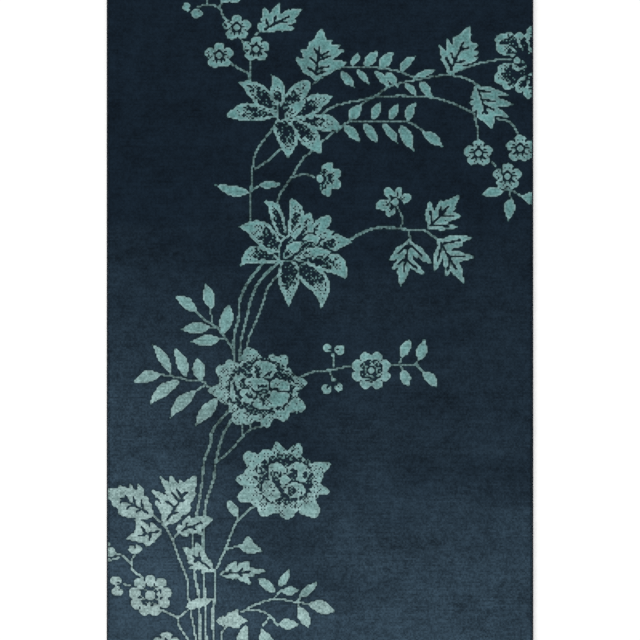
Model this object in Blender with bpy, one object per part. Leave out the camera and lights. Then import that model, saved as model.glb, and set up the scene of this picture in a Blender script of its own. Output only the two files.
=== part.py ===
"""A flat hand-knotted wool rug, small enough for a bedside, with overcast long sides and turned-under woven ends.

Metres, +Z up. The origin is on the floor under the middle of the rug. +Y runs along the warps, towards the end
where the flowering branches arch over, and +X is to the right when that end is at the top.
"""

import math

import bmesh
import bpy
from mathutils import Vector

# The weave sets the size: about eight knots to the inch both ways.
KNOT_WIDTH = 0.0032
KNOT_LENGTH = 0.0031
PILE_COLUMNS = 264
PILE_ROWS = 423

FOUNDATION_THICKNESS = 0.003
PILE_HEIGHT = 0.008
WEB_LENGTH = 0.012  # the flat-woven end, from the last row of knots to its fold
CORD_WIDTH = 0.0045  # the overcast edge, seen from above
CORD_HEIGHT = 0.0056
SEAT_GAP = 0.0003  # between the overcasting and the cloth that it grips

PILE_EDGE_ROUNDING = 0.0028
FOLD_ROUNDING = 0.0013
ROUNDING_STEPS = 3
CORD_SIDES = 12  # a multiple of four, which gives the cord a flat foot
CORD_END_STEPS = 3
NEARLY = 0.00001

PILE_WIDTH = PILE_COLUMNS * KNOT_WIDTH
PILE_LENGTH = PILE_ROWS * KNOT_LENGTH
CLOTH_LENGTH = PILE_LENGTH + 2 * WEB_LENGTH
PILE_TOP = FOUNDATION_THICKNESS + PILE_HEIGHT

NAVY_WOOL = ("navy_wool", (0.018, 0.030, 0.044), 0.92)
NAVY_EDGE_WOOL = ("navy_edge_wool", (0.012, 0.021, 0.032), 0.88)


def clear_scene():
    for leftover in list(bpy.data.objects):
        bpy.data.objects.remove(leftover)


def wool(name, colour, roughness):
    """A dull, non-metallic fibre material."""
    material = bpy.data.materials.new(name)
    material.use_nodes = True
    shader = material.node_tree.nodes["Principled BSDF"]
    shader.inputs["Base Color"].default_value = (*colour, 1.0)
    shader.inputs["Roughness"].default_value = roughness
    shader.inputs["Metallic"].default_value = 0.0
    return material


def add_object(name, shape, material):
    """Turns a bmesh into a named object of the scene."""
    bmesh.ops.recalc_face_normals(shape, faces=shape.faces)
    mesh = bpy.data.meshes.new(name)
    shape.to_mesh(mesh)
    shape.free()
    mesh.materials.append(material)
    made = bpy.data.objects.new(name, mesh)
    bpy.context.scene.collection.objects.link(made)
    return made


def round_edges(shape, is_wanted, rounding):
    """Bevels the edges whose two ends both satisfy is_wanted."""
    edges = [edge for edge in shape.edges if all(is_wanted(corner.co) for corner in edge.verts)]
    bmesh.ops.bevel(
        shape,
        geom=edges,
        offset=rounding,
        offset_type="OFFSET",
        segments=ROUNDING_STEPS,
        profile=0.5,
        affect="EDGES",
    )


def cloth_outline():
    """The rug cut along its length, as (y, z): a thin foundation that carries the pile and runs past it at both ends."""
    cloth_end = CLOTH_LENGTH / 2
    pile_end = PILE_LENGTH / 2
    one_half = [
        (cloth_end, 0.0),
        (cloth_end, FOUNDATION_THICKNESS),
        (pile_end, FOUNDATION_THICKNESS),
        (pile_end, PILE_TOP),
    ]
    return one_half + [(-y, z) for y, z in reversed(one_half)]


def make_knotted_rug(material):
    """The cloth is one piece: pile and foundation are knotted and woven together, and so are the end webs."""
    shape = bmesh.new()
    rim = [shape.verts.new((-PILE_WIDTH / 2, y, z)) for y, z in cloth_outline()]
    side = shape.faces.new(rim)
    swept = bmesh.ops.extrude_face_region(shape, geom=[side])["geom"]
    far_side = [item for item in swept if isinstance(item, bmesh.types.BMVert)]
    bmesh.ops.translate(shape, verts=far_side, vec=Vector((PILE_WIDTH, 0, 0)))

    def on_pile_top(point):
        return point.z > PILE_TOP - NEARLY

    def on_web_fold(point):
        return abs(point.y) > CLOTH_LENGTH / 2 - NEARLY and point.z > FOUNDATION_THICKNESS - NEARLY

    round_edges(shape, on_pile_top, PILE_EDGE_ROUNDING)
    round_edges(shape, on_web_fold, FOLD_ROUNDING)
    return add_object("knotted_rug", shape, material)


def cord_section(scale):
    """One ring round the overcast edge as (x, z): an oval that lies flat on the floor along its lowest sides."""
    ring = []
    for step in range(CORD_SIDES):
        angle = 2 * math.pi * (step + 0.5) / CORD_SIDES
        across = math.cos(angle) * CORD_WIDTH / 2 * scale
        up = CORD_HEIGHT / 2 + math.sin(angle) * CORD_HEIGHT / 2 / math.cos(math.pi / CORD_SIDES)
        ring.append((across, min(max(up, 0.0), CORD_HEIGHT)))
    return ring


def cord_stations():
    """(distance along the cord, share of its full width) of each ring, drawn in to a blunt nose at both ends."""
    half = CLOTH_LENGTH / 2
    nose = CORD_WIDTH / 2
    one_end = []
    for step in range(CORD_END_STEPS + 1):
        angle = math.pi / 2 * (step + 1) / (CORD_END_STEPS + 1)
        one_end.append((half - nose * (1 - math.cos(angle)), math.sin(angle)))
    return [(-y, share) for y, share in one_end] + list(reversed(one_end))


def make_side_cord(name, side, material):
    """The wool overcasting that binds one long edge. side is -1 on the left and +1 on the right."""
    centre = side * (PILE_WIDTH / 2 + SEAT_GAP + CORD_WIDTH / 2)
    shape = bmesh.new()
    rings = []
    for y, share in cord_stations():
        rings.append([shape.verts.new((x, y, z)) for x, z in cord_section(share)])
    for near, far in zip(rings, rings[1:]):
        for corner in range(CORD_SIDES):
            after = (corner + 1) % CORD_SIDES
            shape.faces.new((near[corner], near[after], far[after], far[corner]))
    shape.faces.new(rings[0])
    shape.faces.new(rings[-1])
    cord = add_object(name, shape, material)
    cord.data.shade_smooth()
    cord.data.set_sharp_from_angle(angle=math.radians(40))
    cord.location = (centre, 0.0, 0.0)
    return cord


def main():
    clear_scene()
    make_knotted_rug(wool(*NAVY_WOOL))
    edge_wool = wool(*NAVY_EDGE_WOOL)
    make_side_cord("side_cord_left", -1, edge_wool)
    make_side_cord("side_cord_right", 1, edge_wool)


main()
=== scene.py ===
"""The finish of a small flat hand-knotted wool rug: a pale flowering spray on a navy ground.

The pile is charted knot by knot, as a weaver would read it: every knot is one cell of a shared grid, and its
yarn is navy or aqua. The motifs are drawn by functions from tables of places. Metres, +Z up, in the frame of
the CAD; only the chart is in millimetres, from the middle of the rug.
"""

import math

import bmesh
import bpy
import numpy as np
from mathutils import Matrix, Vector


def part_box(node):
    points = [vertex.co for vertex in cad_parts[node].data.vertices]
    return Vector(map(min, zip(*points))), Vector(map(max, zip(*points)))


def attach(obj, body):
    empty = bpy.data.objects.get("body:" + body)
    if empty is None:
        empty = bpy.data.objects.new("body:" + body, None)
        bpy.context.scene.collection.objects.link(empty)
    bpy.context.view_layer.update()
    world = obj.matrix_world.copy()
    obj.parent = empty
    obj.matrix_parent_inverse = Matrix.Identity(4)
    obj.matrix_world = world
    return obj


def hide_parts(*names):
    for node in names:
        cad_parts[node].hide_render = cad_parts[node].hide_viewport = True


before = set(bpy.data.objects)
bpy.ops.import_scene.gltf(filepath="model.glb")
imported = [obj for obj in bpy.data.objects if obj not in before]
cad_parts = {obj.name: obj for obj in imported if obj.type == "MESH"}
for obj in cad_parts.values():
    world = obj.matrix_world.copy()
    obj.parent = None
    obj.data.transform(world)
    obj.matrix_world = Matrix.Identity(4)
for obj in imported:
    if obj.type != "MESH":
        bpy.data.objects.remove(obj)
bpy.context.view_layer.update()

CLOTH_LOW, CLOTH_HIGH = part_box("knotted_rug")


# ----------------------------------------------------------------------------------------------------------
# The knot chart. Lengths in this part are in millimetres from the middle of the rug, x to the right and y up.

MM = 0.001
KNOT_WIDTH = 3.2
KNOT_LENGTH = 3.1
THIN = 1.0  # widths of aqua lines, in knots
FIRM = 1.04
TRUNK = 1.35
VEIN = 1.2  # and of dark ones
NOTCH = 0.9
TICK = 0.8
HAIR = 0.7
STAIRS = 0.8  # how much wider a slanting line is
MEASURED = 3  # knots on each side of a line whose distance from it is measured
ROUTE_STEP = 4.0
LINE_HAND = 0.01  # how much of the stray of an outline a line has
OUTSIDE = -9.0  # the depth of a knot that isn't in a petal or leaf at all
RIM = 3.8  # the solid border that a shaded petal keeps at its base
RIM_GROWTH = 4.0  # and how much wider it is at its tip
HAND = 0.5  # how far a drawn outline strays
PALE_LINE = 3.2  # the thin pale rim of a peony's petals
OUTLINE = 0.85  # how dark the knots just outside a peony's cupped petals are
HEART_OUTLINE = 0.6  # and those outside the petals in a lily's middle
EVENNESS = 0.85  # how evenly the specks are spaced
ALTERNATION = 0.28  # how much the specks keep to every other knot, as on squares of a draughts board
CHART_SEED = 1930


def neighbourhood(padded, shape):
    """Nine fields, of each knot and its eight neighbours, from one with a border of a knot added."""
    rows, columns = shape
    return [padded[down : down + rows, over : over + columns] for down in range(3) for over in range(3)]


def grown(inside):
    """The knots that are inside or touch one that is."""
    return np.any(neighbourhood(np.pad(inside, 1), inside.shape), axis=0)


def ranked(field):
    """Every number's place in the order of them all, from 0 to 1."""
    return field.ravel().argsort().argsort().reshape(field.shape) / field.size


def smooth_noise(rng, shape, knots_across):
    """Noise of about unit size whose lumps are some knots across, from averaged random numbers."""
    field = rng.normal(size=shape)
    for _ in range(3):
        for axis in (0, 1):
            total = np.zeros(shape)
            for step in range(-knots_across, knots_across + 1):
                total += np.roll(field, step, axis)
            field = total
    return field / field.std()


class Chart:
    """A knot is aqua or navy. Motifs lay aqua knots, and shade or cut them with navy ones."""

    def __init__(self, columns, rows):
        rng = np.random.default_rng(CHART_SEED)
        across = (np.arange(columns) - (columns - 1) / 2) * KNOT_WIDTH
        along = (np.arange(rows) - (rows - 1) / 2) * KNOT_LENGTH
        self.x, self.y = np.meshgrid(across, along)
        self.aqua = np.zeros((rows, columns), bool)
        self.stem = np.zeros((rows, columns), bool)
        scatter = rng.random((rows, columns))
        near = sum(np.roll(scatter, (a, b), (0, 1)) for a in (-1, 0, 1) for b in (-1, 0, 1))
        spaced = scatter - near / 9 * EVENNESS
        row, column = np.indices((rows, columns))
        self.grain = ranked(ranked(spaced) + ALTERNATION * ((row + column) % 2))
        self.stray = smooth_noise(rng, (rows, columns), 1) * HAND

    def lay(self, inside, stem=False):
        self.aqua |= inside
        self.stem = np.where(inside, stem, self.stem)

    def cut(self, inside):
        self.aqua &= ~inside

    def shade(self, inside, density):
        """Navy knots among the aqua ones, spaced evenly where they are few."""
        self.aqua &= ~(inside & (self.grain < density))

    def blade(self, base, tip, width, bend=0.0, *, belly, blunt, teeth=0, late=2):
        """How far each knot is inside a pointed leaf or petal, and its share of the way along it.

        bend is how far the middle line swings out to the left. With a greater late it swings out nearer to
        the tip, which then hooks back. belly is where the blade is broadest, as a share of its length, and
        blunt is how pointed it is below and above that: the less, the blunter.
        """
        length = math.dist(base, tip)
        ahead = ((tip[0] - base[0]) / length, (tip[1] - base[1]) / length)
        dx, dy = self.x - base[0], self.y - base[1]
        share = (dx * ahead[0] + dy * ahead[1]) / length
        held = np.clip(share, 0, 1)
        furthest = late ** (-1 / (late - 1))
        swing = bend * (held - held**late) / (furthest - furthest**late)
        left = dy * ahead[0] - dx * ahead[1] - swing
        lean = held ** (math.log(0.5) / math.log(belly))
        sharp = np.where(held < belly, blunt[0], blunt[1])
        half = width / 2 * np.sin(np.pi * lean) ** sharp
        if teeth:
            half = half * (1 + TOOTH * (np.mod(held * teeth, 1) - 0.5))
        depth = np.where((share >= 0) & (share <= 1), half - np.abs(left) + self.stray, OUTSIDE)
        return depth, held

    def oval(self, centre, width, height, turn=0.0):
        """Each knot's distance from the centre of an oval, as a share of the way to its edge."""
        turned = math.radians(turn)
        dx, dy = self.x - centre[0], self.y - centre[1]
        over = dx * math.cos(turned) + dy * math.sin(turned)
        up = dy * math.cos(turned) - dx * math.sin(turned)
        return np.hypot(over / (width / 2), up / (height / 2))

    def line(self, points, width=THIN):
        """The knots on a smooth line through the points. At a width of 1 most share a side with the next."""
        route = [(x / KNOT_WIDTH, y / KNOT_LENGTH) for x, y in smooth_route(points)]
        grid_x, grid_y = self.x / KNOT_WIDTH, self.y / KNOT_LENGTH
        near = np.full(self.x.shape, -OUTSIDE)
        for (ax, ay), (bx, by) in zip(route, route[1:]):
            rows, columns = (
                slice(*np.searchsorted(places, (min(a, b) - MEASURED, max(a, b) + MEASURED)))
                for places, a, b in ((grid_y[:, 0], ay, by), (grid_x[0], ax, bx))
            )
            dx, dy = grid_x[rows, columns] - ax, grid_y[rows, columns] - ay
            length = math.dist((ax, ay), (bx, by))
            share = np.clip((dx * (bx - ax) + dy * (by - ay)) / length**2, 0, 1)
            away = np.hypot(dx - share * (bx - ax), dy - share * (by - ay))
            flatter, steeper = sorted((abs(bx - ax), abs(by - ay)))
            span = (steeper + STAIRS * flatter) / length
            near[rows, columns] = np.minimum(near[rows, columns], away / span)
        return near < width / 2 + LINE_HAND * self.stray


def smooth_route(points):
    """Closely spaced points on a smooth (Catmull-Rom) curve through the given ones."""
    ends = [points[0]] + list(points) + [points[-1]]
    route = []
    for before, start, end, after in zip(ends, ends[1:], ends[2:], ends[3:]):
        pieces = max(1, round(math.dist(start, end) / ROUTE_STEP))
        for piece in range(pieces):
            t = piece / pieces
            weights = (
                -0.5 * t + t * t - 0.5 * t**3,
                1 - 2.5 * t * t + 1.5 * t**3,
                0.5 * t + 2 * t * t - 1.5 * t**3,
                -0.5 * t * t + 0.5 * t**3,
            )
            corners = (before, start, end, after)
            route.append(tuple(sum(w * c[axis] for w, c in zip(weights, corners)) for axis in (0, 1)))
    return route + [tuple(points[-1])]


def between(start, end, share, bend=0.0):
    """The point at this share of the way from start to end, moved sideways to the left by bend."""
    length = math.dist(start, end)
    left = (-(end[1] - start[1]) / length, (end[0] - start[0]) / length)
    return tuple(a + (b - a) * share + bend * side for a, b, side in zip(start, end, left))


# Motifs

TOOTH = 0.3  # how deep the teeth of a lobed leaf are, as a share of its width
LEAF = {"belly": 0.45, "blunt": (0.8, 1.2)}
LEAF_FULLNESS = 1.05
LOBED_BODY = {"belly": 0.45, "blunt": (0.65, 0.88), "teeth": 4}
LOBE = {"belly": 0.4, "blunt": (0.42, 0.95), "teeth": 2}
MIDRIB = (0.1, 0.66)  # the shares of the way up a lobed leaf where its middle vein starts and ends
LOWEST_VEIN = 0.12
VEINED_LOBE = 15.5  # a lobe narrower than this has no vein


def leaf(chart, base, tip, width, bend):
    """A plain pointed leaf."""
    depth, _ = chart.blade(base, tip, width * LEAF_FULLNESS, bend, **LEAF)
    chart.lay(depth > 0)


def lobed_leaf(chart, base, tip, width, veined, lobes):
    """A cut leaf. Each lobe is (x, y) of its tip, its share of the way up the midrib, and its width.

    veined is how far its side veins reach into the lobes, or 0 for a plain leaf.
    """
    depth, _ = chart.blade(base, tip, width, **LOBED_BODY)
    chart.lay(depth > 0)
    for x, y, share, lobe_width in lobes:
        depth, _ = chart.blade(between(base, tip, share), (x, y), lobe_width, **LOBE)
        chart.lay(depth > 0)
    if not veined:
        return
    chart.cut(chart.line([between(base, tip, share) for share in MIDRIB], VEIN))
    for x, y, share, lobe_width in lobes:
        if lobe_width > VEINED_LOBE:
            root = between(base, tip, max(share, LOWEST_VEIN))
            chart.cut(chart.line([root, between(root, (x, y), veined)], VEIN))


LILY_BASE = 0.5  # how pointed a lily petal's base is, as in Chart.blade
LILY_OVERRUN = 0.06  # how far past its reach the shading ends, as a share of the petal
LILY_FADING = 0.55  # the share of its reach over which the shading thins out
LILY_DARK = 0.62  # the share of navy knots next to the rim
LILY_DARKER = 0.2  # and how much greater it is further in
LILY_DEEPENING = 0.12  # how far in that is, as a share of the petal's width
HEART_PETAL = {"belly": 0.55, "blunt": (0.6, 0.7)}
HEART_SHADED = 0.6  # how far up a petal in a lily's middle is speckled
HEART_FADING = 0.4
HEART_DARK = 0.5


def lily_petal(chart, base, tip, width, bend, late, belly, point, reach):
    """A long petal: aqua at its rim and tip, and darkened with navy knots from its base up to reach."""
    depth, share = chart.blade(base, tip, width, bend, belly=belly, blunt=(LILY_BASE, point), late=late)
    petal = depth > 0
    chart.lay(petal)
    inner = depth - RIM - RIM_GROWTH * share
    ramped = np.clip((reach + LILY_OVERRUN - share) / (LILY_FADING * reach), 0, 1)
    deeper = np.clip(inner / (LILY_DEEPENING * width), 0, 1)
    chart.shade(petal & (inner > 0), ramped * (LILY_DARK + LILY_DARKER * deeper))


def heart_petal(chart, base, tip, width, bend, hollow_row):
    """A small pale petal in a lily's middle, speckled near its base. It may have a hollow, as in hollow()."""
    depth, share = chart.blade(base, tip, width, bend, **HEART_PETAL)
    chart.shade(grown(depth > 0) & (depth <= 0), HEART_OUTLINE)
    chart.lay(depth > 0)
    chart.shade(depth > PALE_LINE, np.clip((HEART_SHADED - share) / HEART_FADING, 0, HEART_DARK))
    if hollow_row:
        hollow(chart, depth, *hollow_row)


RUFFLE = 0.1  # how deep the ruffles of a fan petal are, as a share of its length
BROAD = 2.5
CUP_RUFFLES = 3
CUP_RUFFLE = 0.04
HOLLOW_END = 1.4  # where a hollow's last dark knots are, as a share of the way to its edge
HOLLOW_FADING = 0.55


def fan_petal(chart, base, tip, spread, ruffles, roundness=BROAD):
    """A broad ruffled petal that opens from its base; spread is half its angle in degrees.

    A roundness of 1 gives it a point, 2 a round end and more than 2 a broad one.

    Returns how far each knot is inside it, and each knot's share of the way out along it.
    """
    length = math.dist(base, tip)
    dx, dy = chart.x - base[0], chart.y - base[1]
    far = np.hypot(dx, dy)
    turn = np.arctan2(dy, dx) - math.atan2(tip[1] - base[1], tip[0] - base[0])
    turn = (turn + np.pi) % (2 * np.pi) - np.pi
    side = turn / math.radians(spread)
    arch = np.sqrt(1 - np.clip(np.abs(side), 0, 1) ** roundness)
    scallop = 1 + RUFFLE * (np.abs(np.cos(side * ruffles * np.pi / 2)) - 1)
    outline = length * arch * scallop
    depth = np.minimum(outline - far, (1 - np.abs(side)) * math.radians(spread) * far) + chart.stray
    depth = np.where(np.abs(side) < 1, depth, OUTSIDE)
    return depth, far / np.maximum(outline, 1)


def cupped_petal(chart, x, y, width, height, turn):
    """Lays an inner petal of a peony, an oval with a softly ruffled edge and a dark outline."""
    far = chart.oval((x, y), width, height, turn)
    bearing = np.arctan2(chart.y - y, chart.x - x)
    edge = 1 + CUP_RUFFLE * np.cos(CUP_RUFFLES * bearing + turn)
    depth = (edge - far) * min(width, height) / 2 + chart.stray
    chart.shade(grown(depth > 0) & (depth <= 0), OUTLINE)
    chart.lay(depth > 0)
    return depth


def hollow(chart, depth, x, y, width, height, turn, density):
    """Darkens an oval part of a petal inside its pale line, with a speckled edge."""
    inner = chart.oval((x, y), width, height, turn)
    chart.shade(depth > PALE_LINE, np.clip((HOLLOW_END - inner) / HOLLOW_FADING, 0, 1) * density)


def disc(chart, centre, radius, flat=1.0):
    """The knots in a round or, with flat under 1, a low oval spot."""
    return np.hypot(chart.x - centre[0], (chart.y - centre[1]) / flat) < radius + chart.stray


SPECKS = 0.05  # the share of navy knots in the palest part of an outer petal
FLECKS = 0.32  # and in its middle, near the ring
FLECKS_FADING = 0.45
RING_DARK = 0.66  # the share of navy knots at the edge of a peony's dark ring
RING_FADING = 2.6
RING_DARKEST = 0.7
RIM_SHARE = 0.2  # how much of that shading the rims of the outer petals have


def peony(chart, centre, body, ring, petals, cups):
    """A full flower: outer petals with pale rims that darken towards a ring, and cupped petals inside it."""
    outwards = chart.oval(*ring) - 1
    flecks = np.clip(FLECKS - FLECKS_FADING * outwards, SPECKS, FLECKS)
    dark = np.clip(RING_DARK - RING_FADING * outwards, flecks, RING_DARKEST)
    chart.lay(disc(chart, *body))
    chart.shade(disc(chart, *body), dark)
    for x, y, spread, ruffles, roundness in petals:
        depth, _ = fan_petal(chart, centre, (x, y), spread, ruffles, roundness)
        chart.lay(depth > 0)
        chart.shade(depth > 0, np.where(depth < PALE_LINE, RIM_SHARE * dark, dark))
    for *place, hollows in cups:
        depth = cupped_petal(chart, *place)
        for row in hollows:
            hollow(chart, depth, *row)


# Flowers seen from the front. A ring says how far out the middles of its round petals are, and their radius,
# both as shares of the flower's, and then how much broader than high the flower is.
BLOSSOM_PETALS = 5
BLOSSOM_RING = (0.58, 0.43, 1.1)
ROSETTE_RING = (0.73, 0.28, 1.05)
EYE = 5.8
EYE_RING = 3.8  # how wide the dark ring round an eye is
PALE_RING = 13.4
# Where short dark lines start and end, and round spots end, as shares of the radius
BLOSSOM_BODY = 0.6
BLOSSOM_NOTCH = (0.68, 0.9)
RAY_START = 0.36
RAY_LEAN = 0.22  # in radians from the petal's middle
SEAM = (1.0, 2.1)  # how deep in a petal its dotted line is, in knots
SEAM_DARK = 0.5
ROSETTE_BODY = 0.82
ROSETTE_NOTCH = (0.78, 0.88)
ROSETTE_RAY = (0.3, 0.58)
WIDE_EYE_SHADE = (0.56, 0.42)  # how far out, and the share of navy knots
SMALL_EYE_SHADE = 0.62
SMALL_EYE_PALE = 0.25
SMALL_EYE_DARK = 0.66
BUD_NOTCH = 0.3  # where a bud's line starts, on the way from its middle to its notch


def between_knots(centre):
    """The nearest point where four knots meet, so that a small round flower comes out even."""
    column = round(centre[0] / KNOT_WIDTH)
    row = math.floor(centre[1] / KNOT_LENGTH) + 0.5
    return column * KNOT_WIDTH, row * KNOT_LENGTH


def round_petals(chart, centre, radius, petals, turn, far_share, size_share, broad):
    """Round petals in a ring. Returns each one's direction in radians and the depth of each knot in it."""
    made = []
    for number in range(petals):
        turned = math.radians(turn) + number * 2 * math.pi / petals
        x = centre[0] + far_share * radius * math.cos(turned) * broad
        y = centre[1] + far_share * radius * math.sin(turned)
        depth = size_share * radius - np.hypot((chart.x - x) / broad, chart.y - y) + chart.stray
        chart.lay(depth > 0)
        made.append((turned, depth))
    return made


def cut_ray(chart, centre, radius, bearing, shares, width):
    """A short dark line on the way out of a flower, between these shares of its radius."""
    ends = [
        (centre[0] + share * radius * math.cos(bearing), centre[1] + share * radius * math.sin(bearing))
        for share in shares
    ]
    chart.cut(chart.line(ends, width))


def draw_eye(chart, far, radius):
    """A pale round eye in a dark ring."""
    chart.cut(far < radius + EYE_RING)
    chart.lay(far < radius)


def blossom(chart, centre, radius, turn, dotted, rays):
    """A small round flower seen from the front, with dark rays out to that share of its radius.

    A dotted petal has a broken dark line inside its rim.
    """
    centre = between_knots(centre)
    far = np.hypot(chart.x - centre[0], chart.y - centre[1])
    made = round_petals(chart, centre, radius, BLOSSOM_PETALS, turn, *BLOSSOM_RING)
    chart.lay(far < BLOSSOM_BODY * radius)
    for turned, _ in made:
        cut_ray(chart, centre, radius, turned + math.pi / BLOSSOM_PETALS, BLOSSOM_NOTCH, NOTCH)
    for number, (turned, depth) in enumerate(made):
        if number == dotted:
            chart.shade((depth > SEAM[0] * KNOT_WIDTH) & (depth < SEAM[1] * KNOT_WIDTH), SEAM_DARK)
            continue
        for lean in (-RAY_LEAN, RAY_LEAN):
            cut_ray(chart, centre, radius, turned + lean, (RAY_START, rays), TICK)
    draw_eye(chart, far, EYE)


def rosette(chart, centre, radius, petals, turn, eye):
    """A larger round flower. A wide eye has dark rays round it, and a small one a pale and a dark ring."""
    centre = between_knots(centre)
    far = np.hypot(chart.x - centre[0], chart.y - centre[1])
    chart.lay(far < ROSETTE_BODY * radius)
    for turned, _ in round_petals(chart, centre, radius, petals, turn, *ROSETTE_RING):
        gap = turned + math.pi / petals
        cut_ray(chart, centre, radius, gap, ROSETTE_NOTCH, HAIR)
        if eye > EYE:
            cut_ray(chart, centre, radius, gap, ROSETTE_RAY, TICK)
    if eye > EYE:
        share, density = WIDE_EYE_SHADE
        chart.shade(far < share * radius, density)
    else:
        density = np.where(far < PALE_RING, SMALL_EYE_PALE, SMALL_EYE_DARK)
        chart.shade(far < SMALL_EYE_SHADE * radius, density)
    draw_eye(chart, far, eye)


def bud(chart, centre, width, height, notch):
    """A closed flower: a small oval, with a short navy line towards its notch."""
    chart.lay(disc(chart, centre, width / 2, height / width))
    if notch:
        chart.cut(chart.line([between(centre, notch, BUD_NOTCH), notch], HAIR))


# The spray. Each row places one motif, in millimetres.

STEMS = {
    # the points of each stem, by its width
    THIN: (
        ((-246, 625), (-227, 630), (-213, 629), (-200, 622), (-194, 608), (-187, 600)),
        ((-224, 631), (-231, 660)),
        ((-200, 624), (-194, 642), (-184, 660)),
        ((-162, 566), (-151, 553)),
        ((-180, 514), (-159, 501), (-142, 492)),
        ((-128, 570), (-115, 580)),
        ((354, 402), (374, 398), (388, 386), (396, 368)),
        ((344, 315), (351, 307)),
        ((376, 264), (364, 256)),
        ((377, 263), (382, 241)),
        ((378, 261), (404, 247)),
        ((34, 377), (46, 389), (58, 398)),
        ((-79, 342), (-102, 320), (-129, 302)),
        ((-56, 284), (-33, 291), (-4, 284)),
        ((-138, 258), (-120, 269)),
        ((153, 229), (161, 213), (166, 199), (161, 186)),
        ((176, 180), (180, 163)),
        ((-246, 15), (-231, 0), (-207, -14), (-193, -31), (-182, -46), (-174, -62), (-171, -84)),
        ((-218, 23), (-217, -6)),
        ((-221, -14), (-207, -16)),
        ((-201, -38), (-190, -37)),
        ((-300, -105), (-300, -112)),
        ((-237, -121), (-238, -112)),
        ((-249, -143), (-229, -129)),
        ((28, -93), (26, -74)),
        ((20, -102), (23, -112), (26, -120)),
        ((158, -90), (164, -74)),
        ((188, -90), (198, -79)),
        ((160, -90), (166, -102)),
        ((-294, -439), (-282, -423)),
        ((-370, -468), (-377, -483), (-374, -500), (-353, -515)),
        ((-418, -466), (-398, -469), (-378, -486)),
        ((-420, -480), (-402, -475)),
        ((-391, -528), (-380, -531)),
        ((-164, -393), (-163, -402)),
        ((-186, -458), (-172, -454), (-158, -450)),
        ((-92, -556), (-78, -541)),
        ((-44, -566), (-44, -574)),
        ((-46, -563), (-40, -556)),
        ((-148, -580), (-117, -582), (-98, -594), (-84, -611)),
        ((-102, -595), (-113, -609)),
    ),
    FIRM: (
        ((-140, 525), (-141, 476)),
        ((-14, 472), (10, 489), (34, 503)),
        ((34, 503), (56, 505), (95, 505), (123, 503), (157, 497), (191, 483), (199, 480)),
        ((6, 358), (28, 376), (58, 398), (84, 431), (110, 447), (140, 467), (168, 475), (202, 482)),
        ((202, 482), (238, 488), (262, 489), (290, 483), (314, 470)),
        ((258, 490), (281, 500), (309, 510), (337, 517), (365, 521), (387, 519)),
        ((6, 413), (22, 424), (44, 432), (84, 440), (110, 446), (158, 448), (196, 447)),
        ((196, 447), (230, 444), (262, 434), (290, 421), (306, 413), (312, 394), (316, 376), (316, 358)),
        ((58, 398), (98, 398), (138, 397), (172, 397), (194, 386), (208, 374)),
        ((-92, 385), (-112, 360), (-130, 330), (-136, 290), (-138, 256), (-141, 190)),
        ((-13, 339), (-34, 322), (-58, 284), (-82, 247), (-82, 222)),
        ((208, 180), (222, 170), (236, 160)),
        ((-76, 96), (-104, 66), (-112, 40), (-126, 2), (-142, -36), (-147, -66)),
        ((-206, -142), (-224, -132), (-234, -123), (-258, -121), (-288, -114), (-319, -109)),
        ((-52, -119), (-42, -115), (-19, -105), (0, -102), (22, -100), (48, -94), (70, -92)),
        ((140, -90), (190, -90), (198, -95), (208, -105)),
        ((-108, -208), (-122, -214), (-140, -219), (-156, -234), (-180, -262), (-205, -282)),
        ((-335, -389), (-312, -410), (-294, -441), (-283, -474), (-266, -516), (-262, -561), (-249, -631)),
        ((-249, -631), (-246, -660)),
        ((-319, -577), (-300, -587), (-283, -594), (-263, -579)),
        ((-283, -594), (-281, -612), (-268, -632), (-252, -660)),
        ((-211, -503), (-200, -482), (-187, -452), (-172, -415), (-161, -397), (-131, -371)),
        ((-198, -660), (-196, -626), (-184, -610)),
        ((-157, -584), (-131, -570), (-103, -560), (-75, -559), (-47, -564), (-16, -568)),
    ),
    TRUNK: (
        ((50, 154), (62, 161), (76, 170), (95, 179), (123, 185), (157, 183), (180, 180), (208, 180)),
        ((-108, 122), (-117, 110), (-142, 78), (-160, 40), (-163, 2), (-172, -36), (-170, -92)),
        ((-78, 118), (-92, 107), (-122, 76), (-138, 40), (-147, 2), (-158, -42), (-160, -80)),
        ((-178, -176), (-214, -220), (-219, -248), (-231, -280), (-235, -320)),
        ((-170, -188), (-192, -226), (-202, -256), (-208, -282), (-212, -318)),
        ((-156, -188), (-156, -232)),
        ((-140, -180), (-140, -218)),
        ((-235, -320), (-244, -376), (-254, -434), (-250, -510), (-242, -556), (-239, -660)),
        ((-212, -318), (-227, -362), (-232, -410), (-234, -480), (-230, -556), (-227, -660)),
        ((-210, -500), (-210, -556), (-214, -580), (-213, -660)),
    ),
}

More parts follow.
